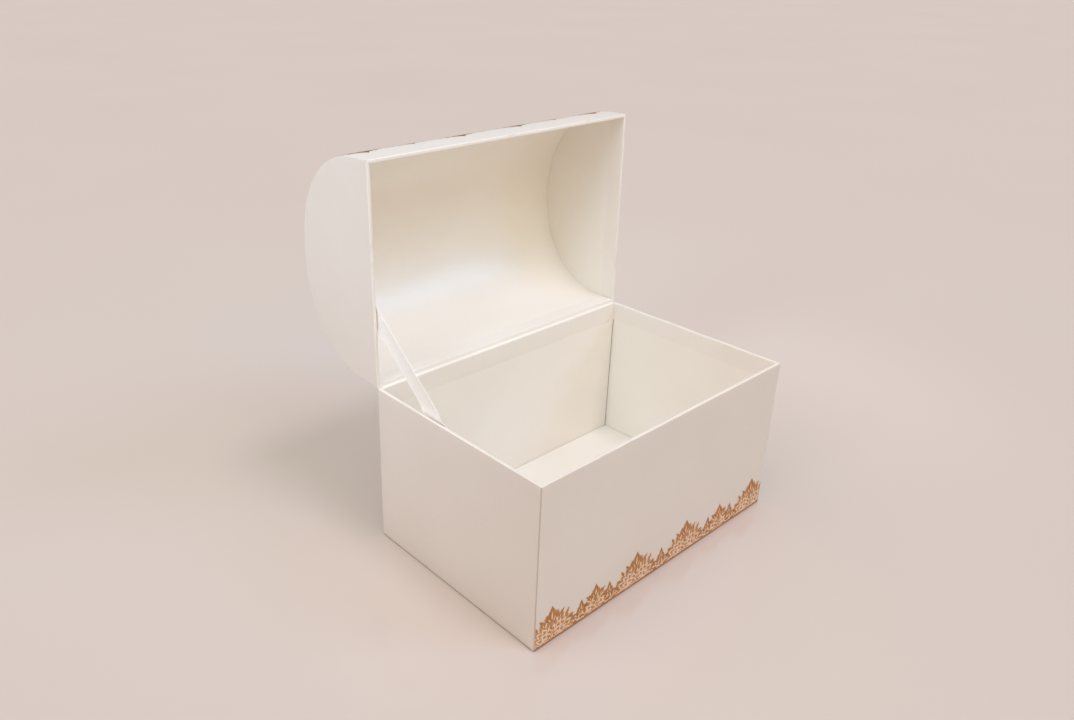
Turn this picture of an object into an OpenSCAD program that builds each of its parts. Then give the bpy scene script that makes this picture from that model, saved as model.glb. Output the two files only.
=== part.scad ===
// Rigid gift box shaped like a chest: a straight-sided tray and a domed lid hinged along the tray's back rim.
// Both are greyboard covered with pearl paper and lined with cream paper. One ribbon stay stops the lid.
// Millimetres, +Z up. The origin is the middle of the tray's foot, and the front faces -Y.
// The lid is drawn open, as it stands at rest, held by the taut ribbon.

/* [Tray] */
// Outer width of the tray and the lid, along X
box_w = 300; // [210:1:420]
// Outer depth of the tray and the lid, along Y
box_d = 190; // [172:1:230]
// Outer height of the tray
tray_h = 146; // [90:1:240]
// Depth of the covering paper folded in over the tray's rim
tray_turn_in = 18; // [17:1:26]
// Open seam where the two ends of the wall lining meet, in the back right corner
seam_gap = 0.8; // [0.4:0.1:2]

/* [Lid] */
// Height of the straight part of the lid's front and back walls
lid_wall_h = 17; // [16.5:0.5:30]
// Outer radius of the two shoulders of the lid's arch
shoulder_r = 81; // [64:1:84]
// Outer radius of the crown of the lid's arch
crown_r = 131; // [125:1:190]
// How far short of the arch's spring the folded-in paper and the hinge strips stop
spring_margin = 1; // [0.5:0.5:2]
// Angle by which the open lid stands back from the closed one
open_angle = 91; // [75:1:100]
// Gap between the two rims when the lid is shut
rim_gap = 0.8; // [0.7:0.1:2]

/* [Board and paper] */
// Thickness of the greyboard
board_t = 2.5; // [1.5:0.1:3.5]
// Thickness of the covering paper
wrap_t = 0.25; // [0.15:0.05:0.4]
// Thickness of the lining paper
liner_t = 0.35; // [0.2:0.05:0.5]

/* [Paper hinge] */
// Thickness of the two hinge strips
strip_t = 0.25; // [0.15:0.05:0.3]
// How far the strips stop short of the corners, and of the edge of the folded-in paper under them
strip_margin = 1; // [0.5:0.5:3]
// Thickness of the glue between the strips and the lid's paper
glue_t = 0.02; // [0.01:0.01:0.05]

/* [Ribbon stay] */
// Width of the ribbon
ribbon_w = 15; // [8:1:16]
// Thickness of the ribbon
ribbon_t = 0.35; // [0.2:0.05:0.6]
// Distance from the hinge to the middle of the ribbon, along the tray's rim
ribbon_on_tray = 72; // [50:1:100]
// Distance from the hinge to the middle of the ribbon, along the lid's rim
ribbon_on_lid = 60; // [45:1:80]
// Length of ribbon glued inside the tray
ribbon_tail = 16; // [12:1:18]
// Length of ribbon glued inside the lid
ribbon_head = 13; // [10:1:16]

/* [Printed border] */
// Thickness of the printed film
print_t = 0.1; // [0.05:0.05:0.3]
// Height of the large motifs
large_h = 34; // [28:1:45]
// Height of the middle-sized motifs
medium_h = 28; // [24:1:40]
// Height of the small finials
small_h = 22; // [18:1:34]
// Height of the band that joins the motifs
band_h = 12; // [8:1:15]
// Grid on which the motifs are set out from the middle
motif_pitch = 16.5; // [14:0.5:20]
// Margin of bare paper under the border
print_foot = 0.6; // [0.4:0.1:4]
// Height above the lid's rim at which the tips of the lid's border end
lid_print_low = 21; // [16:1:26]

/* [Hidden] */
$fn = 96;

left = -1;
right = 1;

// Insets of the layers' faces from the box's outer faces
board_out = wrap_t;
board_in = board_out + board_t;
turned_in = board_in + wrap_t;
lined_in = board_in + liner_t;

// The hinge line runs along the tray's back, midway between the two rims of the shut box
hinge_y = box_d / 2;
hinge_z = tray_h + rim_gap / 2;

// Depth of the covering paper folded in over the lid's rim, which the outer hinge strip matches outside
lid_turn_in = lid_wall_h - spring_margin;

// Centres of the arcs of the lid's arch, in its end view, and the angle at which shoulder and crown meet
shoulder_y = box_d / 2 - shoulder_r;
crown_drop = sqrt(pow(crown_r - shoulder_r, 2) - pow(shoulder_y, 2));
meet_angle = atan2(crown_drop, shoulder_y);

// Colours of the finishes
pearl = "#f1ece2";
cream = "#efe4cf";
grey = "#a79f92";
copper = "#c4874c";
satin = "#f8f6f0";

// Where a point of the shut lid's end view, a depth and a height above its rim, stands once the lid is open
function stood(y, h) = [
    hinge_y + (y - hinge_y) * cos(open_angle) + (h + rim_gap / 2) * sin(open_angle),
    hinge_z - (y - hinge_y) * sin(open_angle) + (h + rim_gap / 2) * cos(open_angle)
];

// Sets what is drawn for the shut lid, with its rim at Z = 0, where the open lid stands
module opened() {
    translate([0, hinge_y, hinge_z]) rotate([-open_angle, 0, 0]) translate([0, -hinge_y, rim_gap / 2]) children();
}

// Turns a flat end view of depth and height into a solid between two places along X
module along_x(low, high) {
    translate([low, 0, 0]) rotate([90, 0, 90]) linear_extrude(high - low) children();
}

// Draws a piece of the right end as it is, or mirrored for the left end
module at_end(side) {
    mirror([side == left ? 1 : 0, 0, 0]) children();
}

// Upright block on the tray's outline, inset on all sides
module block(inset, low, high) {
    translate([inset - box_w / 2, inset - box_d / 2, low])
        cube([box_w - 2 * inset, box_d - 2 * inset, high - low]);
}

// Upright sleeve between two insets of the tray's outline
module sleeve(outer, inner, low, high) {
    difference() {
        block(outer, low, high);
        block(inner, low - 1, high + 1);
    }
}

// End view of the lid under its three-centred arch, inset from its outer face, between two heights
module arch(inset, low = 0, high = crown_r) {
    half = box_d / 2 - inset;
    difference() {
        intersection() {
            translate([-half, low]) square([2 * half, high - low]);
            translate([0, lid_wall_h - crown_drop]) circle(crown_r - inset);
        }
        for (side = [left, right]) mirror([side == left ? 1 : 0, 0])
            translate([shoulder_y, lid_wall_h]) spandrel(shoulder_r - inset);
    }
}

// Corner outside a shoulder's arc, from the arc's centre line out to where the crown's arc takes over
module spandrel(r) {
    reach = 3 * r;
    middle = meet_angle / 2;
    difference() {
        polygon([
            [0, 0], [reach, 0], reach * [cos(middle), sin(middle)], reach * [cos(meet_angle), sin(meet_angle)]
        ]);
        circle(r);
    }
}

// End view of one layer of the arch, between two insets and two heights
module layer(outer, inner, low = 0, high = crown_r) {
    difference() {
        arch(outer, low, high);
        arch(inner);
    }
}

// Greyboard tray: one scored blank, with its four walls folded up
module base_board() {
    color(grey) difference() {
        block(board_out, wrap_t, tray_h - wrap_t);
        block(board_in, wrap_t + board_t, tray_h);
    }
}

// Paper that covers the underside
module base_bottom_sheet() {
    color(pearl) block(0, 0, wrap_t);
}

// Covering paper of the four walls, carried over the rim and folded in
module base_wrap() {
    color(pearl) {
        sleeve(0, board_out, wrap_t, tray_h);
        sleeve(board_out, board_in, tray_h - wrap_t, tray_h);
        sleeve(board_in, turned_in, tray_h - tray_turn_in, tray_h);
    }
}

// Lining strip round the four walls, with an open seam in the back right corner
module base_wall_liner() {
    low = wrap_t + board_t;
    color(cream) difference() {
        sleeve(board_in, lined_in, low, tray_h - tray_turn_in);
        translate([box_w / 2 - lined_in - seam_gap, box_d / 2 - lined_in, low - 1])
            cube([seam_gap, liner_t + 1, tray_h]);
    }
}

// Lining sheet on the floor, between the wall linings
module base_floor_liner() {
    low = wrap_t + board_t;
    color(cream) block(lined_in, low, low + liner_t);
}

// Crown of the lid: one board bent over the arch, with its straight front and back walls
module lid_crown_board() {
    reach = box_w / 2 - board_out;
    color(grey) opened() along_x(-reach, reach) layer(board_out, board_in, wrap_t);
}

// End of the lid: a board cut to the inside of the arch
module lid_end_board(side) {
    color(grey) opened() at_end(side)
        along_x(box_w / 2 - board_in, box_w / 2 - board_out) arch(board_in, wrap_t);
}

// Covering paper of the crown, carried over the front and back rims and folded in
module lid_crown_wrap() {
    reach = box_w / 2 - board_out;
    between_ends = box_w / 2 - board_in;
    color(pearl) opened() {
        along_x(-reach, reach) {
            layer(0, board_out);
            layer(board_out, board_in, 0, wrap_t);
        }
        along_x(-between_ends, between_ends) layer(board_in, turned_in, 0, lid_turn_in);
    }
}

// Covering paper of one end, carried over its rim and folded in
module lid_end_wrap(side) {
    end = box_w / 2;
    color(pearl) opened() at_end(side) {
        along_x(end - board_out, end) arch(0);
        along_x(end - board_in, end - board_out) arch(board_in, 0, wrap_t);
        along_x(end - turned_in, end - board_in) arch(turned_in, 0, lid_turn_in);
    }
}

// Lining sheet bent round the inside of the crown
module lid_crown_liner() {
    reach = box_w / 2 - board_in;
    color(cream) opened() along_x(-reach, reach) layer(board_in, lined_in, lid_turn_in);
}

// Lining sheet of one end of the lid
module lid_end_liner(side) {
    color(cream) opened() at_end(side)
        along_x(box_w / 2 - lined_in, box_w / 2 - board_in) arch(lined_in, lid_turn_in);
}

// Outer hinge strip, glued to the tray's back and to the lid's back wall, with its fold between the two rims
module hinge_outer_strip() {
    reach = box_w / 2 - strip_margin;
    low = tray_h - lid_turn_in;
    glued = hinge_y + glue_t;
    color(pearl) along_x(-reach, reach) polygon([
        [hinge_y, low], [hinge_y, tray_h], stood(glued, 0), stood(glued, lid_turn_in),
        stood(glued + strip_t, lid_turn_in), stood(glued + strip_t, 0), [hinge_y + strip_t, tray_h],
        [hinge_y + strip_t, low]
    ]);
}

// Inner hinge strip, glued inside the tray, over both rims and inside the lid
module hinge_inner_strip() {
    reach = box_w / 2 - turned_in - strip_margin;
    low = tray_h - tray_turn_in + strip_margin;
    deep = lid_turn_in - strip_margin;
    face = hinge_y - turned_in;
    glued = face - glue_t;
    top = -glue_t - strip_t;
    color(pearl) along_x(-reach, reach) polygon([
        [face, low], [face, tray_h], [hinge_y, tray_h], stood(hinge_y, -glue_t), stood(glued, -glue_t),
        stood(glued, deep), stood(glued - strip_t, deep), stood(glued - strip_t, top), stood(hinge_y, top),
        [hinge_y, tray_h + strip_t], [face - strip_t, tray_h + strip_t], [face - strip_t, low]
    ]);
}

// Satin ribbon, taut from inside the tray's left wall to inside the lid's left end
module ribbon_stay() {
    face = max(turned_in, lined_in) - box_w / 2;
    foot = [hinge_y - ribbon_on_tray, tray_h];
    top = stood(hinge_y - ribbon_on_lid, 0);
    span = norm(top - foot);
    lean = atan2(top.y - foot.y, top.x - foot.x);
    color(satin) along_x(face, face + ribbon_t) translate(foot) rotate(lean)
        translate([-ribbon_tail, -ribbon_w / 2]) square([ribbon_tail + span + ribbon_head, ribbon_w]);
}

// Points up one side of a leafy motif: leaf tips that climb to its peak, with a notch under each
function climb(height, half_w, leaves) = [
    for (i = [0:leaves - 1]) let (t = i / leaves, y = band_h + (height - band_h) * t)
        each [[half_w * (1 - t), y], [half_w * (0.8 - t), y + 0.1 * height]]
];

// Printed motif: a fan of leaves that rises from the foot of the border, with open veins between them
module motif(height, half_w, leaves) {
    side = climb(height, half_w, leaves);
    difference() {
        polygon(concat(
            [[-half_w, 0], [half_w, 0]], side, [[0, height]],
            [for (i = [len(side) - 1:-1:0]) [-side[i].x, side[i].y]]
        ));
        for (i = [-leaves:leaves]) rotate(i * 60 / leaves) translate([0, 0.3 * height]) vein(0.42 * height);
    }
}

// Open vein of a motif: a slim pointed oval
module vein(length) {
    half_w = length / 14;
    polygon([[0, 0], [half_w, length * 0.35], [half_w, length * 0.6], [0, length], [-half_w, length * 0.6],
        [-half_w, length * 0.35]]);
}

// Printed border across the box's width, mirrored about its middle, with its foot at height 0
module border() {
    groups = ceil(box_w / 2 / (6 * motif_pitch));
    large_half = 1.5 * motif_pitch;
    intersection() {
        translate([-box_w / 2, 0]) square([box_w, large_h]);
        for (side = [left, right], k = [0:groups]) translate([side * 6 * k * motif_pitch, 0]) {
            motif(small_h, motif_pitch / 2, 2);
            translate([side * 2 * motif_pitch, 0]) motif(large_h, large_half, 4);
            translate([side * 4 * motif_pitch, 0]) motif(small_h, motif_pitch / 2, 2);
            translate([side * 5 * motif_pitch, 0]) motif(medium_h, motif_pitch * 0.8, 3);
        }
    }
}

// Printed border along the foot of the tray's front, with its tips up
module front_border_print() {
    color(copper) translate([0, -box_d / 2, print_foot]) rotate([90, 0, 0]) linear_extrude(print_t) border();
}

// Printed border round the shoulder of the lid's front, with its tips towards the rim
module lid_border_print() {
    color(copper) opened() intersection() {
        along_x(-box_w / 2, box_w / 2) layer(-print_t, 0);
        translate([0, 0, lid_print_low + large_h]) rotate([90, 0, 0]) mirror([0, 1])
            linear_extrude(box_d) border();
    }
}

base_board();
base_bottom_sheet();
base_wrap();
base_wall_liner();
base_floor_liner();
front_border_print();
hinge_outer_strip();
hinge_inner_strip();
ribbon_stay();
lid_crown_board();
lid_end_board(left);  // lid_end_board_left
lid_end_board(right);  // lid_end_board_right
lid_crown_wrap();
lid_end_wrap(left);  // lid_end_wrap_left
lid_end_wrap(right);  // lid_end_wrap_right
lid_crown_liner();
lid_end_liner(left);  // lid_end_liner_left
lid_end_liner(right);  // lid_end_liner_right
lid_border_print();
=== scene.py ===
# %% [markdown]
# A rigid gift box in the shape of a chest: a tray with a domed lid that is hinged along its back rim.
# The real one is greyboard covered in pearl paper and lined with cream paper, so nearly all that the eye
# meets is thin paper over board. The lesson builds each paper as its own thin sheet, lays a copper print
# on two of them, and stretches a satin ribbon between the tray and the lid.

from math import atan2, cos, pi, radians, sin, sqrt

import bmesh
import bpy
from mathutils import Matrix, Vector, noise


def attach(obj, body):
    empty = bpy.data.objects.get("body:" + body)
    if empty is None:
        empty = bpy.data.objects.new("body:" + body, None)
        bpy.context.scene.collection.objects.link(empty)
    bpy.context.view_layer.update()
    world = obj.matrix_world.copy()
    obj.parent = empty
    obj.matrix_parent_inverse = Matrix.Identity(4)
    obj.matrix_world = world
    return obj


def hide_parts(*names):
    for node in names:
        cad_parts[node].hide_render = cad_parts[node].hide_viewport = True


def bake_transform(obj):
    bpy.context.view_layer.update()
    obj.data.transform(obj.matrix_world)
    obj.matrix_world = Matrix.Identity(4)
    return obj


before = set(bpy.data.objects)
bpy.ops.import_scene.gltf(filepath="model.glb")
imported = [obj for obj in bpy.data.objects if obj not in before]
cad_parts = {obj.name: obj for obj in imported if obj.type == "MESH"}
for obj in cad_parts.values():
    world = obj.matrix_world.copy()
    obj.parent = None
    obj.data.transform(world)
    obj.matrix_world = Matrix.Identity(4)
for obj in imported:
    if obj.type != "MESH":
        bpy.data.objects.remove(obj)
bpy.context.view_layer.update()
print("nodes:", ", ".join(sorted(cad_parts)))

# %% [markdown]
# The box stands on a table and the camera looks down on its near left corner. A camera can be set by eye,
# or worked out from the places of the box's corners in the picture. The second way is used, because every
# edge then falls where it should: it gives the place, the direction and the focal length in pixels.

# %% Camera
IMAGE_W = 1074
IMAGE_H = 720
SENSOR_MM = 36.0
FOCAL_PX = 882.2
AZIMUTH = radians(-40.70)
ELEVATION = radians(23.93)
ROLL = radians(0.18)
# The point of the picture that the lens looks straight at, in pixels from the top left
AIM_X = 460.1
AIM_Y = 332.3

camera = bpy.data.objects.new("camera", bpy.data.cameras.new("camera"))
bpy.context.scene.collection.objects.link(camera)
bpy.context.scene.camera = camera
camera.data.sensor_width = SENSOR_MM
camera.data.lens = FOCAL_PX * SENSOR_MM / IMAGE_W
camera.data.shift_x = (IMAGE_W / 2 - AIM_X) / IMAGE_W
camera.data.shift_y = (AIM_Y - IMAGE_H / 2) / IMAGE_W
camera.data.clip_start = 0.01
camera.data.dof.use_dof = False

towards_camera = Vector((sin(AZIMUTH) * cos(ELEVATION), -cos(AZIMUTH) * cos(ELEVATION), sin(ELEVATION)))
aim = (-towards_camera).to_track_quat("-Z", "Y").to_matrix().to_4x4()
camera.matrix_world = Matrix.Translation((-0.522, -0.442, 0.486)) @ aim @ Matrix.Rotation(ROLL, 4, "Z")
print(f"lens {camera.data.lens:.2f} mm, shift {camera.data.shift_x:.4f} {camera.data.shift_y:.4f}")

# %% [markdown]
# The sizes of the box are those of its solids, in millimetres. The lid is an arch of three arcs, two
# shoulders and a crown. It is easiest to think of the lid shut, and to turn each point about the hinge
# afterwards, so one function walks along the arch and another opens the lid.

# %% Sizes of the box and the curve of its lid
MM = 0.001
BOX_W = 300.0
BOX_D = 190.0
TRAY_H = 146.0
TRAY_TURN_IN = 18.0
LID_WALL_H = 17.0
SHOULDER_R = 81.0
CROWN_R = 131.0
OPEN_ANGLE = radians(91)
RIM_GAP = 0.8
BOARD_T = 2.5
WRAP_T = 0.25
LINER_T = 0.35
STRIP_T = 0.25
HINGE_Y = BOX_D / 2
HINGE_Z = TRAY_H + RIM_GAP / 2
LID_TURN_IN = LID_WALL_H - 1
BOARD_IN = WRAP_T + BOARD_T
TURNED_IN = BOARD_IN + WRAP_T
LINED_IN = BOARD_IN + LINER_T

SHOULDER_Y = BOX_D / 2 - SHOULDER_R
CROWN_DROP = sqrt((CROWN_R - SHOULDER_R) ** 2 - SHOULDER_Y ** 2)
MEET_ANGLE = atan2(CROWN_DROP, SHOULDER_Y)
HALF_ARCH = LID_WALL_H + SHOULDER_R * MEET_ANGLE + CROWN_R * (pi / 2 - MEET_ANGLE)


def arch(length, inset=0.0):
    """Depth and height of a point of the shut lid, at a length from the front rim along its outside."""
    if length > HALF_ARCH:
        y, h = arch(2 * HALF_ARCH - length, inset)
        return -y, h
    if length < LID_WALL_H:
        return inset - BOX_D / 2, length
    turn = (length - LID_WALL_H) / SHOULDER_R
    if turn < MEET_ANGLE:
        r = SHOULDER_R - inset
        return -SHOULDER_Y - r * cos(turn), LID_WALL_H + r * sin(turn)
    lean = (HALF_ARCH - length) / CROWN_R
    r = CROWN_R - inset
    return -r * sin(lean), LID_WALL_H - CROWN_DROP + r * cos(lean)


def opened(x, y, h):
    """Where a point of the shut lid, at a height over its rim, stands once the lid is open."""
    out = y - HINGE_Y
    up = h + RIM_GAP / 2
    return Vector((
        x,
        HINGE_Y + out * cos(OPEN_ANGLE) + up * sin(OPEN_ANGLE),
        HINGE_Z - out * sin(OPEN_ANGLE) + up * cos(OPEN_ANGLE),
    ))


print(f"the arch is {2 * HALF_ARCH:.1f} mm from rim to rim and {arch(HALF_ARCH)[1]:.1f} mm high")

# %% [markdown]
# Paper on board is never quite flat: it lifts by a tenth of a millimetre, and the folded rims run in a faint
# wave. A displacement modifier could do it, but the print has to follow the same lifts as the paper under
# it. So the lift is a function of place, made of smooth noise, which every sheet asks for its own points.

# %% Lifts and waves of the paper
def eased(value):
    """A value held between 0 and 1, with a soft start and end."""
    t = min(max(value, 0.0), 1.0)
    return t * t * (3 - 2 * t)


def lift(u, v, seed, size=0.22, wave=45.0):
    """How far the paper stands off its board at a place on it, in millimetres."""
    coarse = noise.noise(Vector((u / wave, v / wave, seed)))
    fine = noise.noise(Vector((u / 16, v / 16, seed + 7)))
    return size * max(0.0, 0.5 + 0.55 * coarse + 0.12 * fine)


def rim_wave(u, seed, size=0.28):
    """How far a folded rim runs up or down at a place along it."""
    long_wave = noise.noise(Vector((u / 24, seed, 0.3)))
    short_wave = noise.noise(Vector((u / 8, seed, 4.3)))
    return size * (long_wave + 0.45 * short_wave)


print("lift at the middle of the front:", round(lift(0, 73, 1), 3), "mm")

# %% [markdown]
# Every sheet is made the same way: a grid of points for the face that shows, and a second grid behind it for
# its back, closed along the edges. A solidify modifier would do much the same, but here the exact place of
# the face matters, since the face is what the eye and the next sheet meet.

# %% Thin sheets from grids of points
def span(low, high, steps):
    """Evenly spaced values from one value to another, both included."""
    return [low + (high - low) * i / steps for i in range(steps + 1)]


def bent(path, radius, steps=4):
    """A path of straight legs with its corners rounded, each by a small curve."""
    path = [Vector(p) for p in path]
    made = [path[0]]
    for before, corner, after in zip(path, path[1:], path[2:]):
        start = corner + (before - corner).normalized() * radius
        end = corner + (after - corner).normalized() * radius
        for t in span(0, 1, steps):
            made.append(start.lerp(corner, t).lerp(corner.lerp(end, t), t))
    return made + [path[-1]]


def divided(path, longest):
    """A path whose long legs are cut into shorter ones."""
    made = [path[0]]
    for a, b in zip(path, path[1:]):
        pieces = max(1, round((b - a).length / longest + 0.3))
        made += [a.lerp(b, t) for t in span(0, 1, pieces)[1:]]
    return made


def backed(grid, depth, ring=False):
    """The points of a sheet's back: those of its face, moved by its thickness along its own normal."""
    rows = len(grid)
    cols = len(grid[0])

    def along(before, here, after):
        total = Vector((0, 0, 0))
        for a, b in ((before, here), (here, after)):
            step = b - a
            if step.length > 1e-9:
                total += step.normalized()
        return total

    back = []
    for r in range(rows):
        line = []
        for c in range(cols):
            here = grid[r][c]
            up = along(grid[max(r - 1, 0)][c], here, grid[min(r + 1, rows - 1)][c])
            if ring:
                side = along(grid[r][c - 1], here, grid[r][(c + 1) % cols])
            else:
                side = along(grid[r][max(c - 1, 0)], here, grid[r][min(c + 1, cols - 1)])
            line.append(here + up.cross(side).normalized() * depth)
        back.append(line)
    return back


def grid_faces(rows, cols, ring=False):
    """Faces of a closed sheet whose face grid comes first in its points and whose back grid follows."""
    shift = rows * cols

    def at(r, c):
        return r * cols + c % cols

    faces = []
    spans = cols if ring else cols - 1
    for r in range(rows - 1):
        for c in range(spans):
            quad = [at(r, c), at(r, c + 1), at(r + 1, c + 1), at(r + 1, c)]
            faces += [quad, [i + shift for i in reversed(quad)]]
    edges = []
    for c in range(spans):
        edges += [(at(0, c + 1), at(0, c)), (at(rows - 1, c), at(rows - 1, c + 1))]
    if not ring:
        for r in range(rows - 1):
            edges += [(at(r, 0), at(r + 1, 0)), (at(r + 1, cols - 1), at(r, cols - 1))]
    return faces + [[a, b, b + shift, a + shift] for a, b in edges]


def piece(name, body, points, faces, materials, picks=None, sharp=35):
    """Makes a mesh piece from points in millimetres, gives it its materials and lets it ride on a body."""
    mesh = bpy.data.meshes.new(name)
    mesh.from_pydata([Vector(p) * MM for p in points], [], faces)
    for material in materials:
        mesh.materials.append(material)
    if picks:
        mesh.polygons.foreach_set("material_index", picks)
    tidy = bmesh.new()
    tidy.from_mesh(mesh)
    bmesh.ops.recalc_face_normals(tidy, faces=tidy.faces)
    tidy.to_mesh(mesh)
    tidy.free()
    mesh.shade_smooth()
    mesh.set_sharp_from_angle(angle=radians(sharp))
    made = bpy.data.objects.new(name, mesh)
    bpy.context.scene.collection.objects.link(made)
    if body:
        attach(made, body)
    low, high = made.bound_box[0], made.bound_box[6]
    print(name, len(faces), "faces,", [round(v / MM, 2) for v in low], [round(v / MM, 2) for v in high])
    return made


def sheet(name, body, grid, depth, materials, ring=False, folded_rows=(), crease_shade_cols=()):
    """Makes a sheet from its face grid. Folded rows take the second material, the paper painted lighter; the
    columns given take the third, painted darker as shade.
    """
    rows, cols = len(grid), len(grid[0])
    points = [p for line in grid + backed(grid, depth, ring) for p in line]
    faces = grid_faces(rows, cols, ring)
    picks = []
    for face in faces:
        row = min(i % (rows * cols) // cols for i in face)
        col = min(i % cols for i in face)
        # Folded rows get the copy painted lighter, and the shade columns get the copy painted darker as
        # painted shade.
        picks.append(1 if row in folded_rows else 2 if col in crease_shade_cols else 0)
    return piece(name, body, points, faces, materials, picks)


# %% [markdown]
# Colours are written as on a web page, in sRGB. A shader works with linear light, so one function turns the
# one into the other. A second one adds a node with its settings and its links, and all finishes use it.

# %% Colours and nodes
def linear(code):
    """An sRGB colour code as linear red, green, blue and alpha."""
    channels = [int(code[i:i + 2], 16) / 255 for i in (1, 3, 5)]
    return [c / 12.92 if c <= 0.04045 else ((c + 0.055) / 1.055) ** 2.4 for c in channels] + [1.0]


def add(tree, kind, feeds=None, **settings):
    """Adds a node, sets its properties, and gives its inputs their values or links."""
    node = tree.nodes.new("ShaderNode" + kind)
    for name, value in settings.items():
        setattr(node, name, value)
    for name, value in (feeds or {}).items():
        if isinstance(value, bpy.types.NodeSocket):
            tree.links.new(value, node.inputs[name])
        else:
            node.inputs[name].default_value = value
    return node


def finish(name):
    """Starts a material with nothing but its output."""
    material = bpy.data.materials.new(name)
    material.use_nodes = True
    material.node_tree.nodes.clear()
    return material, material.node_tree, add(material.node_tree, "OutputMaterial")


print("pearl paper's lighter shade in linear light:", [round(c, 3) for c in linear("#E7E1DB")])

# %% [markdown]
# Pearl paper is wood pulp with a coat of mica flakes. The coat was pressed smooth, so the sheet is matt at
# first sight, but it carries a soft broad sheen, like satin, that follows a curve in one bright band. A
# clear coat would look like varnish, so a little metallic and a middling roughness are used instead. Pulp
# fibres are 1 to 2 mm long and 0.03 mm thick. They are drawn ten times as coarse, and only just seen.
# Outside, the paper is drawn a shade darker than where it is folded in. That difference is painted shade on
# the outside and painted light on the folded-in parts. Where the paper bends round the corner nearest the
# eye, a thin line is painted darker still, as shade in that crease, and it is duller there.

# %% Pearl paper and cream paper
def pearl_finish(name, light, shade, roughness, metallic):
    """Mica-coated paper: a soft cloudy tint, faint fibres and a broad sheen."""
    material, tree, output = finish(name)
    place = add(tree, "TexCoord").outputs["Object"]
    clouds = add(tree, "TexNoise", {"Vector": place, "Scale": 1 / 0.055, "Detail": 3.0, "Roughness": 0.5})
    fibres = add(tree, "TexNoise", {"Vector": place, "Scale": 1 / 0.0011, "Detail": 2.0, "Roughness": 0.6})
    flecks = add(tree, "TexVoronoi", {"Vector": place, "Scale": 1 / 0.0008})
    blend = add(tree, "Math", {0: clouds.outputs["Fac"], 1: fibres.outputs["Fac"]}, operation="MULTIPLY")
    spread = add(tree, "MapRange", {"Value": blend.outputs[0], "From Min": 0.12, "From Max": 0.40})
    tint = add(tree, "Mix", {0: spread.outputs[0], 6: linear(shade), 7: linear(light)}, data_type="RGBA")
    gloss = add(tree, "MapRange", {
        "Value": flecks.outputs["Distance"], "From Max": 0.7,
        "To Min": roughness - 0.05, "To Max": roughness + 0.05,
    })
    grain = add(tree, "Bump", {"Height": fibres.outputs["Fac"], "Strength": 0.25, "Distance": 0.00006})
    swell = add(tree, "Bump", {
        "Height": clouds.outputs["Fac"], "Strength": 0.35, "Distance": 0.0008, "Normal": grain.outputs[0],
    })
    paper = add(tree, "BsdfPrincipled", {
        "Base Color": tint.outputs[2], "Metallic": metallic, "Roughness": gloss.outputs[0], "IOR": 1.5,
        "Normal": swell.outputs[0],
    })
    tree.links.new(paper.outputs[0], output.inputs[0])
    return material


# The paper outside is painted a shade darker than the folded-in copy, as painted shade.
pearl = pearl_finish("pearl_paper", "#E7E1DB", "#E4DDD6", 0.38, 0.10)
# The same paper painted a shade lighter, as painted light, for the parts that are folded in.
folded_pearl_painted_lighter = pearl_finish("pearl_paper_folded_in_painted_lighter", "#F8F2EB", "#F5EEE6", 0.38, 0.10)
# A copy painted darker, as the shade in the crease of the corner nearest the eye; it is also rougher.
pearl_painted_crease_shade = pearl_finish("pearl_paper_painted_crease_shade", "#D0C4B9", "#C4B8AC", 0.55, 0.05)
cream = pearl_finish("cream_paper", "#FAF5ED", "#F7F1E8", 0.40, 0.10)
print("paper finishes:", pearl.name, folded_pearl_painted_lighter.name, cream.name)

# %% [markdown]
# Greyboard is recycled pulp, pressed in thick sheets. It shows only where two papers leave a gap, as in the
# corner of the tray. It is dull, with darker and lighter fibres about 2 mm long.

# %% Greyboard
greyboard, tree, output = finish("greyboard")
place = add(tree, "TexCoord").outputs["Object"]
pulp = add(tree, "TexNoise", {"Vector": place, "Scale": 1 / 0.002, "Detail": 5.0, "Roughness": 0.7})
mottle = add(tree, "Mix", {
    0: pulp.outputs["Fac"], 6: linear("#85796A"), 7: linear("#A79B8B"),
}, data_type="RGBA")
rough = add(tree, "Bump", {"Height": pulp.outputs["Fac"], "Strength": 0.5, "Distance": 0.0002})
board = add(tree, "BsdfPrincipled", {
    "Base Color": mottle.outputs[2], "Roughness": 0.9, "IOR": 1.45, "Normal": rough.outputs[0],
})
tree.links.new(board.outputs[0], output.inputs[0])
print("board finish:", greyboard.name)

# %% [markdown]
# The border is printed in three copper-coloured bronze inks: a middle one for the ground, a pale one for
# the fine leaves, and a deep one for the broad leaves. Ink sinks into the paper, so it is a little uneven.
# Its flakes lie flat, so it is bright when looked at straight and dark at a glancing angle, as on the lid's
# front.

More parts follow.
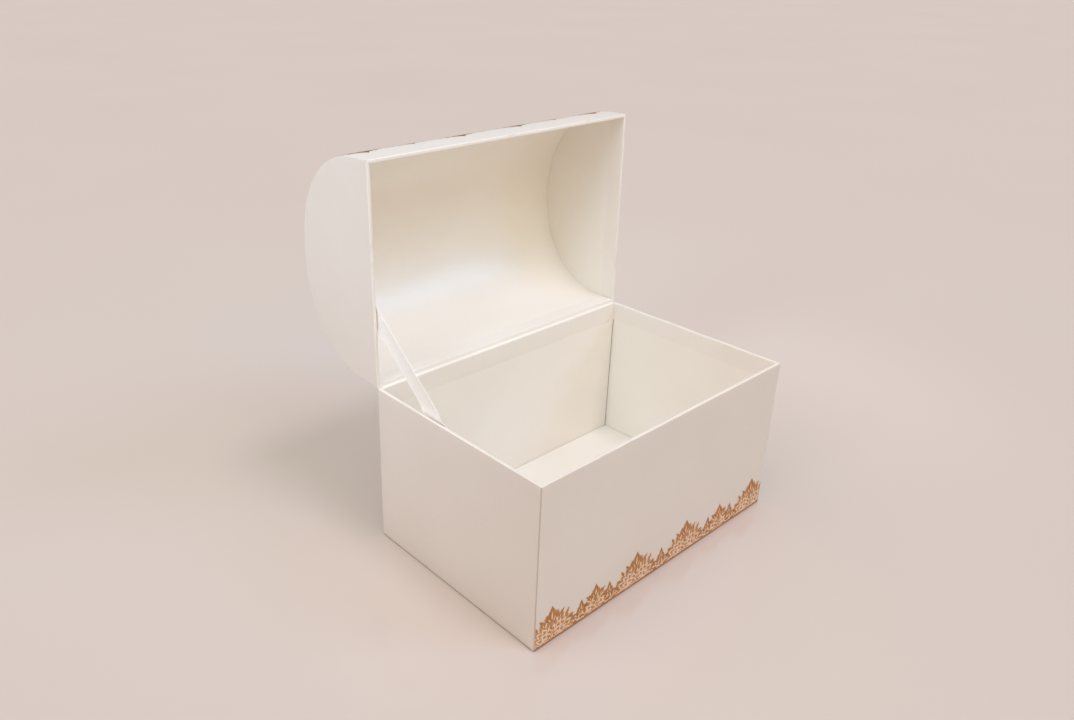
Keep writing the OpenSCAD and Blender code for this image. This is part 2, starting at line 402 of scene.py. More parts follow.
# %% Copper inks
def ink_finish(name, light, dark, metallic):
    """Bronze ink that has dried unevenly on paper."""
    material, tree, output = finish(name)
    place = add(tree, "TexCoord").outputs["Object"]
    uneven = add(tree, "TexNoise", {"Vector": place, "Scale": 1 / 0.012, "Detail": 6.0, "Roughness": 0.65})
    spread = add(tree, "MapRange", {"Value": uneven.outputs["Fac"], "From Min": 0.32, "From Max": 0.68})
    tint = add(tree, "Mix", {0: spread.outputs[0], 6: linear(dark), 7: linear(light)}, data_type="RGBA")
    grazing = add(tree, "LayerWeight", {"Blend": 0.5})
    flop = add(tree, "MapRange", {"Value": grazing.outputs["Facing"], "From Min": 0.60, "From Max": 0.92})
    seen = add(tree, "Mix", {0: flop.outputs[0], 6: tint.outputs[2], 7: linear("#6B4738")}, data_type="RGBA")
    grain = add(tree, "Bump", {"Height": uneven.outputs["Fac"], "Strength": 0.2, "Distance": 0.0001})
    ink = add(tree, "BsdfPrincipled", {
        "Base Color": seen.outputs[2], "Metallic": metallic, "Roughness": 0.5, "IOR": 1.5,
        "Normal": grain.outputs[0],
    })
    tree.links.new(ink.outputs[0], output.inputs[0])
    return material


copper_tint = ink_finish("copper_ink_tint", "#F6DDC2", "#EDCDAC", 0.05)
copper_full = ink_finish("copper_ink_full", "#C6976A", "#B47C4C", 0.1)
copper_deep = ink_finish("copper_ink_deep", "#C08544", "#A96C30", 0.15)
print("inks:", copper_tint.name, copper_full.name, copper_deep.name)

# %% [markdown]
# The ribbon is woven satin. Its long threads lie side by side on the face and hide the cross threads, which
# gives a bright streak along the ribbon. The threads are 0.15 mm apart on the real one. They are drawn at
# 0.5 mm, so that a trace of them is left in a picture of the whole box.

# %% Satin
satin, tree, output = finish("white_satin")
place = add(tree, "TexCoord").outputs["Object"]
threads = add(tree, "TexNoise", {"Vector": place, "Scale": 1 / 0.004, "Detail": 2.0})
sheen_tint = add(tree, "Mix", {
    0: threads.outputs["Fac"], 6: linear("#F4F2EE"), 7: linear("#FBF9F6"),
}, data_type="RGBA")
weave = add(tree, "TexWave", {"Vector": place, "Scale": 1 / 0.0005 / (2 * pi) * 0.5, "Distortion": 0.4},
            bands_direction="DIAGONAL")
relief = add(tree, "Bump", {"Height": weave.outputs["Fac"], "Strength": 0.25, "Distance": 0.00008})
cloth = add(tree, "BsdfPrincipled", {
    "Base Color": sheen_tint.outputs[2], "Roughness": 0.38, "IOR": 1.54, "Sheen Weight": 0.25,
    "Sheen Roughness": 0.3, "Normal": relief.outputs[0],
})
tree.links.new(cloth.outputs[0], output.inputs[0])
print("ribbon finish:", satin.name)

# %% [markdown]
# The tray's covering paper is one band round the four walls. It is glued on outside, folded over the rim and
# glued down again inside. Its cross-section is a short path: up the wall, over the rim and down inside. The
# path is carried round the tray's outline, with the corners of both just rounded as folded paper is.

# %% Tray: covering paper
def tray_outline(inset, radius, arc=4, step=6.0):
    """Points round the tray at an inset from its outer faces, from the front right corner on."""
    half_w = BOX_W / 2 - inset
    half_d = BOX_D / 2 - inset
    corners = [(half_w, -half_d), (half_w, half_d), (-half_w, half_d), (-half_w, -half_d)]
    points = []
    for k, (x, y) in enumerate(corners):
        centre = Vector((x - radius * (1 if x > 0 else -1), y - radius * (1 if y > 0 else -1)))
        for i in range(arc + 1):
            angle = pi / 2 * (k - 1 + i / arc)
            points.append(centre + radius * Vector((cos(angle), sin(angle))))
        nx, ny = corners[(k + 1) % 4]
        following = Vector((nx - radius * (1 if nx > 0 else -1), ny - radius * (1 if ny > 0 else -1)))
        following += radius * Vector((cos(pi / 2 * k), sin(pi / 2 * k)))
        length = BOX_D if k % 2 == 0 else BOX_W
        count = round(length / step)
        points += [points[-1].lerp(following, (i + 1) / (count + 1)) for i in range(count)]
    return points


def wall_lift(x, y, z):
    """Lift of the covering paper of the tray's walls, which dies away at the corners, foot and rim."""
    clear = min(1.0, max(abs(abs(x) - BOX_W / 2), abs(abs(y) - BOX_D / 2)) / 12)
    rim = eased((TRAY_H - z) / 6) * eased((z + 2) / 8)
    return lift(x + 0.7 * y, z + 0.3 * y, 1.0) * clear * rim


def tray_rim_wave(x, y, z):
    """Wave of the tray's rim, which fades out further down."""
    clear = eased(max(abs(abs(x) - BOX_W / 2), abs(abs(y) - BOX_D / 2)) / 10)
    return rim_wave(x + 1.3 * y, 2.0) * clear * eased((z - TRAY_H + 9) / 8)


section = divided(bent([(2.0, 0.6), (0, 0.6), (0, TRAY_H), (TURNED_IN, TRAY_H),
                        (TURNED_IN, TRAY_H - TRAY_TURN_IN)], 0.7), 7.0)
grid = []
for inset, z in section:
    radius = 0.7 if inset < 0.6 or inset > 2.2 else 0.4
    ring = []
    for x, y in tray_outline(inset, radius):
        out = wall_lift(x, y, z) if inset < 0.05 else 0.0
        away = Vector((0.0, 0.0))
        if abs(y) > BOX_D / 2 - inset - 0.01:
            away.y = out * (1 if y > 0 else -1)
        elif abs(x) > BOX_W / 2 - inset - 0.01:
            away.x = out * (1 if x > 0 else -1)
        ring.append(Vector((x + away.x, y + away.y, z + tray_rim_wave(x, y, z))))
    grid.append(ring)
# The folded-in rows take the paper painted lighter, as painted light.
turned_in = [i for i, (inset, z) in enumerate(section) if z > TRAY_H - 0.3 or inset > 2]
# The columns of the bend round the corner nearest the eye take the copy painted darker, as painted shade in
# that crease.
bend = [x < 0.75 - BOX_W / 2 and y < 0.75 - BOX_D / 2 for x, y in tray_outline(0, 0.7)]
corner_crease_shade_cols = [c for c in range(len(bend) - 1) if bend[c] and bend[c + 1]]
tray_cover = sheet("tray_cover", "base", grid, WRAP_T, [pearl, folded_pearl_painted_lighter, pearl_painted_crease_shade], True, turned_in,
                   corner_crease_shade_cols)
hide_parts("base_wrap")

# %% [markdown]
# A separate sheet covers the underside. It is cut a little smaller than the tray, so that its edge doesn't
# lift. It is a flat grid.

# %% Tray: sheet on the underside
grid = []
for t in span(-1, 1, 30):
    y = t * (BOX_D / 2 - 0.8)
    grid.append([Vector((s * (BOX_W / 2 - 0.8), y, 0.0)) for s in span(-1, 1, 48)])
tray_underside = sheet("tray_underside", "base", grid, -WRAP_T, [pearl])
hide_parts("base_bottom_sheet")

# %% [markdown]
# The inside is lined with one strip that runs round the four walls. Its two ends meet in the back right
# corner, where a narrow open seam shows the board. The strip starts on the right wall, so its path is drawn
# from there, and the bends in the other three corners are a little softer than the board's corners.

# %% Tray: lining of the walls and the floor
seam = 1.0
wall_in = BOX_W / 2 - LINED_IN
depth_in = BOX_D / 2 - LINED_IN
plan = divided(bent([(wall_in, BOX_D / 2 - BOARD_IN - 0.05), (wall_in, -depth_in), (-wall_in, -depth_in),
                     (-wall_in, depth_in), (wall_in - seam, depth_in)], 1.2), 6.0)
floor_z = WRAP_T + BOARD_T
top_z = TRAY_H - TRAY_TURN_IN
grid = []
for t in span(0, 1, 22):
    z = floor_z + 0.02 + (top_z - floor_z - 0.02) * t
    line = []
    for i, point in enumerate(plan):
        ahead = (plan[min(i + 1, len(plan) - 1)] - plan[max(i - 1, 0)]).normalized()
        inward = Vector((ahead.y, -ahead.x))
        ends = eased(min(i, len(plan) - 1 - i) / 4) * eased((1 - t) * 8 + 0.15) * eased(t * 8)
        off = lift(point.x + 0.8 * point.y, z, 5.0, 0.30, 38.0) * ends
        line.append(Vector((point.x + inward.x * off, point.y + inward.y * off, z)))
    grid.append(line)
tray_wall_lining = sheet("tray_wall_lining", "base", grid, LINER_T, [cream])
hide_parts("base_wall_liner")

grid = []
for t in span(-1, 1, 30):
    y = t * (depth_in - 0.35)
    line = []
    for s in span(-1, 1, 46):
        x = s * (wall_in - 0.35)
        rise = lift(x, y, 9.0, 0.35, 60.0) * eased((1 - abs(s)) * 12) * eased((1 - abs(t)) * 8)
        line.append(Vector((x, y, floor_z + LINER_T + rise)))
    grid.append(line)
tray_floor_lining = sheet("tray_floor_lining", "base", grid, LINER_T, [cream])
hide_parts("base_floor_liner")

# %% [markdown]
# The lid is covered by three papers. The first goes over the crown, from one rim to the other, and is folded
# in at both. The section is again a path, now up the front wall, over the arch and down to the back, and it
# is drawn out along the box. At the rim it meets the papers of the ends in a mitre.

# %% Lid: covering paper of the crown
def crown_lift(x, length):
    """Lift of the covering paper of the crown."""
    clear = eased((BOX_W / 2 - abs(x)) / 12)
    rims = eased((min(length, 2 * HALF_ARCH - length) - 1) / 8)
    return lift(x, length, 13.0, 0.25, 50.0) * clear * rims


def lid_rim_wave(x, h):
    """Wave of the lid's rim, which fades out further from it."""
    return rim_wave(x, 21.0, 0.35) * eased((BOX_W / 2 - abs(x)) / 10) * eased((9 - h) / 8)


ARCH_STEP = 2.5
arch_places = [LID_WALL_H * t for t in (0.15, 0.3, 0.5, 0.7, 0.85)]
arch_places += span(LID_WALL_H, 2 * HALF_ARCH - LID_WALL_H, round((HALF_ARCH - LID_WALL_H) * 2 / ARCH_STEP))
arch_places += [2 * HALF_ARCH - LID_WALL_H * t for t in (0.85, 0.7, 0.5, 0.3, 0.15)]

front_fold = divided(bent([(-BOX_D / 2 + TURNED_IN, LID_TURN_IN), (-BOX_D / 2 + TURNED_IN, 0),
                           (-BOX_D / 2, 0), (-BOX_D / 2, 2.0)], 0.7), 4.0)
back_fold = [Vector((-p.x, p.y)) for p in reversed(front_fold)]


def crown_half(y, h):
    """How far the crown's paper reaches to each side, at a place of its section."""
    inset = BOX_D / 2 - abs(y)
    if h > 0.75 and inset > 2:
        return BOX_W / 2 - TURNED_IN - 0.05
    if h < 0.75:
        return BOX_W / 2 - max(inset, 0.7) - 0.02
    return BOX_W / 2 - 0.7


COLUMNS = span(-1, 1, 72)
grid = []
for y, h in front_fold:
    half = crown_half(y, h)
    grid.append([opened(s * half, y, h + lid_rim_wave(s * half, h)) for s in COLUMNS])
for length in arch_places:
    half = BOX_W / 2 - 0.7
    line = []
    for s in COLUMNS:
        y, h = arch(length, -crown_lift(s * half, length))
        line.append(opened(s * half, y, h + (lid_rim_wave(s * half, h) if y < 0 else 0.0)))
    grid.append(line)
for y, h in back_fold:
    half = crown_half(y, h)
    grid.append([opened(s * half, y, h) for s in COLUMNS])
# The folded-in rows take the paper painted lighter, as painted light.
turned_in = [i for i, (y, h) in enumerate(front_fold) if h < 0.3 or y > -BOX_D / 2 + 2]
turned_in += [len(grid) - 2 - i for i in turned_in]
lid_crown_cover = sheet("lid_crown_cover", "lid", grid, WRAP_T, [pearl, folded_pearl_painted_lighter], False, turned_in)
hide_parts("lid_crown_wrap")

# %% [markdown]
# Each end of the lid is a board with its own paper, also folded over the rim. The grid climbs from the fold
# inside, over the rim and up the outside. Higher up, each row is as wide as the arch is at that height, and
# its outermost points bend over the edge to meet the paper of the crown.

# %% Lid: covering paper of the two ends
EDGE_R = 0.7
EDGE_TURNS = span(0, pi / 2, 4)
END_FIELD = span(-1, 1, 44)


def end_rows(side):
    """Rows of points of an end's covering paper, from inside the lid over the rim and up the outside."""
    rows = []
    fold = divided(bent([(BOX_W / 2 - TURNED_IN, LID_TURN_IN), (BOX_W / 2 - TURNED_IN, 0),
                         (BOX_W / 2, 0), (BOX_W / 2, 1.5)], EDGE_R), 4.0)
    for x, h in fold[:-1]:
        inside = x < BOX_W / 2 - 2.2 and h > 0.72
        half = BOX_D / 2 - TURNED_IN - 0.05 if inside else BOX_D / 2 - max(BOX_W / 2 - x, 0.35)
        places = [-half + (1 - cos(t)) * EDGE_R for t in EDGE_TURNS]
        places += [s * (half - EDGE_R) for s in END_FIELD[1:-1]]
        places += [half - (1 - cos(t)) * EDGE_R for t in reversed(EDGE_TURNS)]
        rows.append([opened(side * x, y, h + rim_wave(y, 31.0 + side, 0.3) * eased((9 - h) / 8)
                            * eased((BOX_D / 2 - abs(y)) / 10)) for y in places])
    lengths = [1.5, 4.0, 8.0, 12.0] + span(LID_WALL_H, HALF_ARCH - 1.5, 52)
    for length in lengths:
        line = []
        left_edge = []
        for t in EDGE_TURNS:
            left_edge.append((BOX_W / 2 - EDGE_R * (1 - sin(t)), arch(length, EDGE_R * (1 - cos(t)))))
        y_in, h_in = left_edge[-1][1]
        line += [(x, y, h) for x, (y, h) in left_edge]
        line += [(BOX_W / 2, s * -y_in, h_in) for s in END_FIELD[1:-1]]
        line += [(x, -y, h) for x, (y, h) in reversed(left_edge)]
        made = []
        for x, y, h in line:
            y_edge = abs(y_in) - abs(y)
            off = lift(y, h, 41.0 + side, 0.3, 42.0) * eased(y_edge / 10)
            off *= eased((98 - h) / 10) * eased((h - 1) / 10)
            wave = rim_wave(y, 31.0 + side, 0.3) * eased((9 - h) / 8) * eased((BOX_D / 2 - abs(y)) / 10)
            made.append(opened(side * (x + off), y, h + wave))
        rows.append(made)
    for t in reversed(EDGE_TURNS[:-1]):
        top = arch(HALF_ARCH, EDGE_R * (1 - cos(t)))[1]
        x = BOX_W / 2 - EDGE_R * (1 - sin(t))
        rows.append([opened(side * x, y, top) for y in span(-1.45, 1.45, len(line) - 1)])
    return rows


# The first rows, which are folded in, take the paper painted lighter, as painted light.
for side, word in ((-1, "left"), (1, "right")):
    made = sheet(f"lid_end_cover_{word}", "lid", end_rows(side), side * WRAP_T, [pearl, folded_pearl_painted_lighter],
                 False, range(12))
    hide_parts(f"lid_end_wrap_{word}")

# %% [markdown]
# The lid's lining is a sheet bent round the inside of the arch, and one flat sheet for each end. They cover
# the raw edges of the folded-in paper, so a faint step runs along near the rim.

# %% Lid: lining
lining_steps = round((HALF_ARCH - LID_TURN_IN) * 2 / ARCH_STEP)
lining_lengths = span(LID_TURN_IN, 2 * HALF_ARCH - LID_TURN_IN, lining_steps)
lining_half = BOX_W / 2 - BOARD_IN - 0.05
grid = []
for length in lining_lengths:
    line = []
    for s in COLUMNS:
        ends = eased((1 - abs(s)) * 10) * eased(min(length, 2 * HALF_ARCH - length) / 10 - 1.5)
        off = lift(s * lining_half, length, 51.0, 0.3, 44.0) * ends
        y, h = arch(length, LINED_IN + off)
        line.append(opened(s * lining_half, y, h))
    grid.append(line)
lid_crown_lining = sheet("lid_crown_lining", "lid", grid, -LINER_T, [cream])
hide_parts("lid_crown_liner")

for side, word in ((-1, "left"), (1, "right")):
    grid = []
    for length in span(LID_TURN_IN, HALF_ARCH - 1.5, 54):
        y_edge, h = arch(length, LINED_IN + 0.05)
        line = []
        for s in END_FIELD:
            y = s * -y_edge
            off = lift(y, h, 61.0 + side, 0.3, 40.0) * eased((1 - abs(s)) * 8) * eased((96 - h) / 12)
            off *= eased((h - LID_TURN_IN) / 8)
            line.append(opened(side * (BOX_W / 2 - LINED_IN - off), y, h))
        grid.append(line)
    made = sheet(f"lid_end_lining_{word}", "lid", grid, -side * LINER_T, [cream])
    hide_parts(f"lid_end_liner_{word}")

# %% [markdown]
# Two strips of the covering paper make the hinge, one outside and one inside, glued to the tray and to the
# lid.

# %% Paper hinge
def strip_grid(path, half):
    """Rows of a hinge strip along its section, each as long as the strip."""
    return [[Vector((s * half, p.x, p.y)) for s in COLUMNS] for p in path]


def at_lid(y, h):
    """Depth and height of a point of the open lid's end view."""
    point = opened(0, y, h)
    return point.y, point.z


outer_path = bent([
    (HINGE_Y + STRIP_T, TRAY_H - LID_TURN_IN), (HINGE_Y + STRIP_T, TRAY_H - 0.2),
    at_lid(HINGE_Y + STRIP_T, 0.1), at_lid(HINGE_Y + STRIP_T, LID_TURN_IN),
], 0.12, 3)
hinge_outer = sheet("hinge_outer", None, strip_grid(divided(outer_path, 5), BOX_W / 2 - 1), -STRIP_T, [pearl])

face = HINGE_Y - TURNED_IN
inner_path = bent([
    (face - STRIP_T, TRAY_H - TRAY_TURN_IN + 1), (face - STRIP_T, TRAY_H + STRIP_T),
    (HINGE_Y - 0.1, TRAY_H + STRIP_T), at_lid(HINGE_Y - 0.1, -STRIP_T),
    at_lid(face - STRIP_T, -STRIP_T), at_lid(face - STRIP_T, LID_TURN_IN - 1),
], 0.12, 3)
inner_half = BOX_W / 2 - TURNED_IN - 1
inner_grid = strip_grid(divided(inner_path, 5), inner_half)
# The inner strip is the paper painted lighter, as painted light.
hinge_inner = sheet("hinge_inner", None, inner_grid, STRIP_T, [folded_pearl_painted_lighter])
for strip, node_name in ((hinge_outer, "hinge_outer_strip"), (hinge_inner, "hinge_inner_strip")):
    reach = 0.1
    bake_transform(strip)
    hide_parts(node_name)

# %% [markdown]
# A ribbon keeps the lid from falling back. It is glued inside the lid's left end and inside the tray's left
# wall, and it is taut between them. It isn't quite flat: it cups a little across its width, and it bulges
# over the tray's rim where it comes out. It is a grid along the ribbon, and both moves are in its points.

# %% Ribbon
RIBBON_W = 15.0
RIBBON_T = 0.35
RIBBON_TAIL = 16.0
RIBBON_HEAD = 13.0
foot = Vector((HINGE_Y - 72.0, TRAY_H))
head = Vector(at_lid(HINGE_Y - 60.0, 0.0))
taut = (head - foot).length
ahead = (head - foot).normalized()
across = Vector((-ahead.y, ahead.x))
ribbon_x = -(BOX_W / 2 - LINED_IN) + RIBBON_T + 0.05
grid = []
for t in span(-RIBBON_TAIL, taut + RIBBON_HEAD, 64):
    line = []
    middle = foot + ahead * t
    free = eased(t / 12) * eased((taut - t) / 12)
    for s in span(-1, 1, 12):
        place_on = middle + across * (s * RIBBON_W / 2)
        cup = 0.9 * (1 - s * s) * free + 0.25 * noise.noise(Vector((t / 14, s * 2, 71.0))) * free
        over_rim = 1.5 * eased((place_on.y - TRAY_H - 0.4) / 1.2) * eased((TRAY_H + 7 - place_on.y) / 5)
        line.append(Vector((ribbon_x + cup - over_rim, place_on.x, place_on.y)))
    grid.append(line)
ribbon = sheet("ribbon", None, grid, RIBBON_T, [satin])
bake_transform(ribbon)
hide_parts("ribbon_stay")

# %% [markdown]
# The border is old lace and palmette work: fans of feathered leaves that rise to a broad crown leaf, large
# and small by turns, mirrored about the middle. A picture of it would be quickest, but shapes keep their
# edges at any size. One function draws a leaf, a second one a feather of small leaves, and a fan is a set
# of feathers that spread from the foot. Each motif is bounded by two straight slopes, and only leaf tips
# cross them.

# %% Border: leaves, feathers and fans
TINT, FULL, DEEP, VEIN = range(4)
PITCH = 16.5
LARGE_H = 34.0
MEDIUM_H = 28.0
SMALL_H = 22.0
BAND_H = 12.0
# Foot of the print, and top of the plain line along it
FOOT_V = 0.9
LINE_V = 2.4


def leaf(ink, u, v, angle, length, width, bend=0.0, belly=0.8, stations=4):
    """A leaf that leans and bends as it goes: its ink and its outline in pairs. A high belly rounds it."""
    pairs = []
    for i in range(stations + 1):
        t = i / stations
        lean = angle + bend * t
        if i:
            u += sin(lean) * length / stations
            v += cos(lean) * length / stations
        half = max(0.05, width / 2 * sin(pi * min(1.0, 0.10 + 0.90 * t) ** belly))
        side_u = cos(lean) * half
        side_v = -sin(lean) * half
        pairs.append(((u - side_u, v - side_v), (u + side_u, v + side_v)))
    return ink, pairs


def veined(ink, u, v, angle, length, width, bend=0.0, belly=1.0):
    """A broad leaf with a pale vein down its middle."""
    middle = leaf(VEIN, u + sin(angle) * length * 0.12, v + cos(angle) * length * 0.12, angle + 0.1 * bend,
                  length * 0.55, width * 0.22, bend * 0.75)
    return [leaf(ink, u, v, angle, length, width, bend, belly, 8), middle]


def feather(u, v, angle, bend, start, length, size):
    """Small curling leaves, left and right by turns, along a curve that isn't drawn, and one at its end."""
    drawn = []
    along = start
    side = 1 if angle >= 0 else -1
    while along < length:
        lean = angle + bend * along / length
        at_u = u + sin(angle + bend * along / length / 2) * along
        at_v = v + cos(angle + bend * along / length / 2) * along
        drawn.append(leaf(TINT, at_u, at_v, lean + side * 0.32, size, size * 0.27, side * 0.70))
        side = -side
        along += size * 0.44
    return drawn + [leaf(DEEP, at_u, at_v, lean, size, size * 0.40, side * 0.4)]


def roof(tall, half_w, off):
    """Height of a fan's sloping outline at a distance from its middle."""
    return BAND_H + (tall - BAND_H) * max(0.0, 1 - off / half_w)


def reach_of(tall, half_w, v, angle, bend):
    """How long a feather may grow before its last leaf leaves the fan."""
    length = 3.0
    while length < 40:
        off = abs(sin(angle + bend / 2)) * length
        if off > half_w - 3 or v + cos(angle + bend / 2) * length > roof(tall, half_w, off) - 3.0:
            break
        length += 0.5
    return length


def fan(middle, tall, half_w):
    """A palmette: feathers that spread from the foot up to the outline, and a crown of three lobes."""
    drawn = []
    for angle, bend, start in ((1.40, -0.20, 4.0), (1.04, -0.05, 7.0), (0.68, 0.15, 5.0), (0.32, 0.25, 7.0)):
        length = reach_of(tall, half_w, 1.5, angle, bend)
        for side in (-1, 1):
            drawn += feather(middle, 1.5, side * angle, side * bend, start, length, 6.6)
    drawn += feather(middle, 1.0, 0.0, 0.0, 3.0, tall * 0.34, 4.6)
    for side in (-1, 1):
        for share in (0.30, 0.52, 0.74):
            off = half_w * share
            base_u = middle + side * (off - 2.2)
            base_v = roof(tall, half_w, off) - 4.0
            drawn.append(leaf(FULL, base_u, base_v, side * 0.55, 4.6, 1.9, side * -0.6))
        off = half_w * 0.40
        base_v = roof(tall, half_w, off) - 8.0
        drawn += veined(DEEP, middle + side * off * 0.8, base_v, side * 0.45, 7.4, 3.8, side * -0.2, 1.3)
    crown_at = tall * 0.56
    for side in (-1, 1):
        drawn += veined(DEEP, middle + side * 0.6, crown_at, side * 0.95, tall * 0.25, tall * 0.15,
                        side * -0.7, 1.7)
    return drawn + veined(DEEP, middle, crown_at + 0.5, 0.0, tall * 0.42, tall * 0.20)


def finial(middle, tall):
    """A small bud: a broad upright leaf between two rounded lobes, over small leaves."""
    drawn = []
    for side in (-1, 1):
        for angle, length in ((1.15, 7.0), (0.50, 8.5)):
            drawn += feather(middle, 1.0, side * angle, 0.0, 2.5, length, 5.2)
        drawn += veined(DEEP, middle + side * 0.5, tall * 0.50, side * 0.9, 5.6, 3.4, side * -0.7, 1.6)
    return drawn + veined(DEEP, middle, tall * 0.50, 0.0, 10.6, 4.6)


fans = []
finials = [0.0]
for side in (-1, 1):
    for start in (0, 6 * PITCH):
        fans.append((side * (start + 2 * PITCH), LARGE_H, 1.55 * PITCH))
        fans.append((side * (start + 5 * PITCH), MEDIUM_H, 0.95 * PITCH))
        finials.append(side * (start + 4 * PITCH))
        finials.append(side * (start + 6 * PITCH))
fans = [entry for entry in fans if abs(entry[0]) - entry[2] < BOX_W / 2]
finials = [middle for middle in finials if abs(middle) < BOX_W / 2 - 4]


def ground_height(u):
    """Height of the ground under the leaves, at a place along the border: scalloped like lace."""
    height = BAND_H - 2.5
    for middle, tall, half_w in fans:
        height = max(height, roof(tall - 1.6, half_w, abs(u - middle)))
    for middle in finials:
        height = max(height, roof(SMALL_H - 1.5, 6.0, abs(u - middle)))
    return height - 2.0 + 1.7 * abs(sin(u * pi / 2.9)) + 0.4 * sin(u * 3.9 + 1)


leaves = []
for u in span(-148.5, 148.5, 90):
    for side in (-1, 1):
        leaves.append(leaf(TINT, u, LINE_V, side * 1.0, 3.6, 0.8, side * -0.8))
for middle, tall, half_w in fans:
    leaves += fan(middle, tall, half_w)
for middle in finials:
    leaves += finial(middle, SMALL_H)


def kept_inside(drawn):
    """Keeps a leaf within the width of the box, and drops one that lies wholly outside it."""
    reach = BOX_W / 2 - 0.9
    ink, pairs = drawn
    if all(abs(u) > reach for pair in pairs for u, v in pair):
        return None
    return ink, [tuple((min(max(u, -reach), reach), max(v, FOOT_V)) for u, v in pair) for pair in pairs]


leaves = [kept for kept in map(kept_inside, leaves) if kept]
print(len(fans), "fans,", len(finials), "finials,", len(leaves), "leaves")

# %% [markdown]
# The same drawing is used twice: along the foot of the tray's front with its tips up, and round the shoulder
# of the lid with its tips towards the rim. A small function for each place says where a point of the drawing
# lies, and how far over the paper. The ink is drawn thicker than real ink, so that it clears the paper.

# %% Border: laid on the front and on the lid
def on_front(u, v, over):
    """A point of the drawing on the tray's front."""
    return Vector((u, -BOX_D / 2 - wall_lift(u, -BOX_D / 2, v) - over, v))


def on_lid(u, v, over):
    """A point of the drawing on the lid, with its tips towards the rim."""
    length = 21.0 + LARGE_H - v
    y, h = arch(length, -crown_lift(u, length) - over)
    return opened(u, y, h + lid_rim_wave(u, h))


def border(name, body, place_on):
    """Makes a printed border: the ground, a plain line along its foot, and the leaves over it."""
    points = []
    faces = []
    picks = []

    def lay(face_grid, back_grid, pick):
        base = len(points)
        points.extend(p for line in face_grid + back_grid for p in line)
        quads = grid_faces(len(face_grid), len(face_grid[0]))
        faces.extend([base + i for i in quad] for quad in quads)
        picks.extend([pick] * len(quads))

    reach = BOX_W / 2 - 0.9
    field = []
    for t in span(0, 1, 6):
        field.append([(u, FOOT_V + (ground_height(u) - FOOT_V) * t) for u in span(-reach, reach, 400)])
    lay([[place_on(u, v, 0.07) for u, v in line] for line in field],
        [[place_on(u, v, 0.02) for u, v in line] for line in field], FULL)
    line = [[(u, v) for u in span(-reach, reach, 100)] for v in (FOOT_V, LINE_V)]
    lay([[place_on(u, v, 0.20) for u, v in row] for row in line],
        [[place_on(u, v, 0.05) for u, v in row] for row in line], DEEP)
    for order, (ink, pairs) in enumerate(leaves):
        over = {TINT: 0.09, FULL: 0.12, DEEP: 0.15, VEIN: 0.20}[ink] + 0.03 * (order * 0.618 % 1)
        lay([[place_on(u, v, over) for u, v in pair] for pair in pairs],
            [[place_on(u, v, 0.05) for u, v in pair] for pair in pairs], ink)
    return piece(name, body, points, faces, [copper_tint, copper_full, copper_deep, copper_tint], picks)


front_border = border("front_border", "base", on_front)
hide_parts("front_border_print")
lid_border = border("lid_border", "lid", on_lid)
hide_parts("lid_border_print")

# %% [markdown]
# The boards stay as the solids made them, because they are flat boards with cut edges, and all but hidden.
# They only get the greyboard finish.

# %% Boards
for name in ("base_board", "lid_crown_board", "lid_end_board_left", "lid_end_board_right"):
    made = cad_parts[name]
    made.data.materials.clear()
    made.data.materials.append(greyboard)
    print(name, "is", greyboard.name)

# %% [markdown]
# The box stands on a wide pale table top with a trace of polish, which returns a soft image of the box next
# to its foot. The polish fades out round the box: a mirror that went on would show the lamps from behind.
# The floor runs out of the picture on all sides, so it is also the background.

# %% Floor
floor_finish, tree, output = finish("studio_floor")
place = add(tree, "TexCoord").outputs["Object"]
tone = add(tree, "TexNoise", {"Vector": place, "Scale": 1.6, "Detail": 2.0})
shade = add(tree, "Mix", {
    0: tone.outputs["Fac"], 6: linear("#DACDC6"), 7: linear("#DCD1CA"),
}, data_type="RGBA")
apart = add(tree, "SeparateXYZ", {0: place})
off = {}
for axis, half in (("X", BOX_W / 2 * MM), ("Y", BOX_D / 2 * MM)):
    away = add(tree, "Math", {0: apart.outputs[axis]}, operation="ABSOLUTE")
    beyond = add(tree, "Math", {0: away.outputs[0], 1: half}, operation="SUBTRACT")
    off[axis] = add(tree, "Math", {0: beyond.outputs[0], 1: 0.0}, operation="MAXIMUM").outputs[0]
reach = add(tree, "Math", {0: off["X"], 1: off["Y"]}, operation="ADD")
polish = add(tree, "MapRange", {
    "Value": reach.outputs[0], "From Min": 0.0, "From Max": 0.20, "To Min": 0.9, "To Max": 0.0,
}, interpolation_type="SMOOTHSTEP")
surface = add(tree, "BsdfPrincipled", {
    "Base Color": shade.outputs[2], "Roughness": 0.08, "IOR": 1.5, "Specular IOR Level": polish.outputs[0],
})
tree.links.new(surface.outputs[0], output.inputs[0])

FLOOR_HALF = 14.0
sheet_of_floor = bpy.data.meshes.new("floor")
tiles = bmesh.new()
bmesh.ops.create_grid(tiles, x_segments=8, y_segments=8, size=FLOOR_HALF)
tiles.to_mesh(sheet_of_floor)
tiles.free()
sheet_of_floor.materials.append(floor_finish)
floor = bpy.data.objects.new("floor", sheet_of_floor)
floor.location.z = -0.0001
bpy.context.scene.collection.objects.link(floor)
print("floor", 2 * FLOOR_HALF, "m wide")

# %% [markdown]
# The light is that of a white studio. A glow comes from above on all sides. The key lamp stands high, in
# front and a little to the right, and throws the soft shadow to the back and left. Two very wide lamps fill
# the left side and the front. A cool one from the right draws the sheen in the curve of the lid, and three
# small panels lift the lid's lining, its left end and the table on the right. The wide ones are suns with a
# large angle, since they light the whole table evenly, as large soft boxes do.

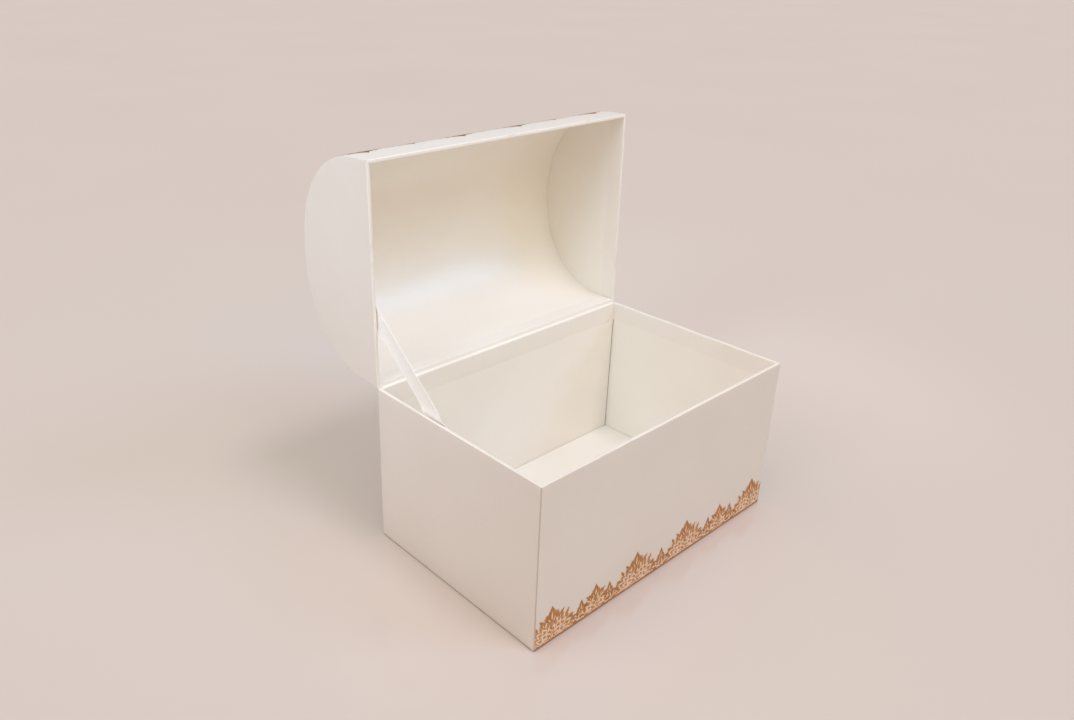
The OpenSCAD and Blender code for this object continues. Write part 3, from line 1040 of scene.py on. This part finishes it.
# %% Light
world = bpy.data.worlds.new("studio")
bpy.context.scene.world = world
world.use_nodes = True
tree = world.node_tree
tree.nodes.clear()
paths = add(tree, "LightPath")
seen = add(tree, "Math", {
    0: paths.outputs["Is Camera Ray"], 1: paths.outputs["Is Glossy Ray"],
}, operation="MAXIMUM")
seen = add(tree, "Math", {0: seen.outputs[0], 1: paths.outputs["Is Transmission Ray"]}, operation="MAXIMUM")
direction = add(tree, "SeparateXYZ", {0: add(tree, "TexCoord").outputs["Generated"]})
height = add(tree, "MapRange", {"Value": direction.outputs["Z"], "To Min": 0.0, "To Max": 0.825})
glow = add(tree, "Background", {"Color": linear("#F6FFF8"), "Strength": height.outputs[0]})
backdrop = add(tree, "Background", {"Color": linear("#D3C7BD"), "Strength": 1.0})
either = add(tree, "MixShader", {0: seen.outputs[0], 1: glow.outputs[0], 2: backdrop.outputs[0]})
output = add(tree, "OutputWorld", {0: either.outputs[0]})


def sun(name, azimuth, elevation, strength, angle, colour):
    """A broad lamp in a direction, given as the azimuth it comes from and its height over the horizon."""
    lamp = bpy.data.lights.new(name, "SUN")
    lamp.energy = strength
    lamp.angle = radians(angle)
    lamp.color = linear(colour)[:3]
    made = bpy.data.objects.new(name, lamp)
    come_from = Vector((sin(azimuth) * cos(elevation), -cos(azimuth) * cos(elevation), sin(elevation)))
    made.matrix_world = come_from.to_track_quat("Z", "Y").to_matrix().to_4x4()
    bpy.context.scene.collection.objects.link(made)
    return made


def panel(name, place, target, size, power, spread, colour):
    """A soft panel lamp at a place, turned to a target, both in metres. The camera doesn't see it."""
    lamp = bpy.data.lights.new(name, "AREA")
    lamp.shape = "RECTANGLE"
    lamp.size, lamp.size_y = size
    lamp.energy = power
    lamp.spread = radians(spread)
    lamp.color = linear(colour)[:3]
    made = bpy.data.objects.new(name, lamp)
    turn = (Vector(place) - Vector(target)).to_track_quat("Z", "Y").to_matrix().to_4x4()
    made.matrix_world = Matrix.Translation(place) @ turn
    made.visible_camera = False
    bpy.context.scene.collection.objects.link(made)
    return made


sun("key_light", radians(16), radians(66), 0.56, 14, "#FFEDFA")
sun("side_light", radians(-105), radians(38), 0.96, 70, "#FFE7E4")
sun("front_light", radians(-10), radians(20), 0.63, 60, "#FFD794")
sun("sheen_light", radians(42), radians(36), 0.54, 24, "#ADCDFF")
panel("lid_panel", (0.0, -0.22, 0.72), (0.0, 0.17, 0.24), (0.5, 0.25), 0.166, 70, "#BEE4FF")
panel("left_panel", (-0.80, 0.02, 0.66), (-0.15, 0.15, 0.28), (0.3, 0.25), 0.14, 36, "#CBE9FF")
panel("right_panel", (0.60, -0.12, 0.50), (0.34, -0.02, 0.0), (0.3, 0.3), 0.043, 60, "#FFF0F4")
bpy.context.scene.view_settings.view_transform = "Standard"
print("lights:", ", ".join(lamp.name for lamp in bpy.data.lights))
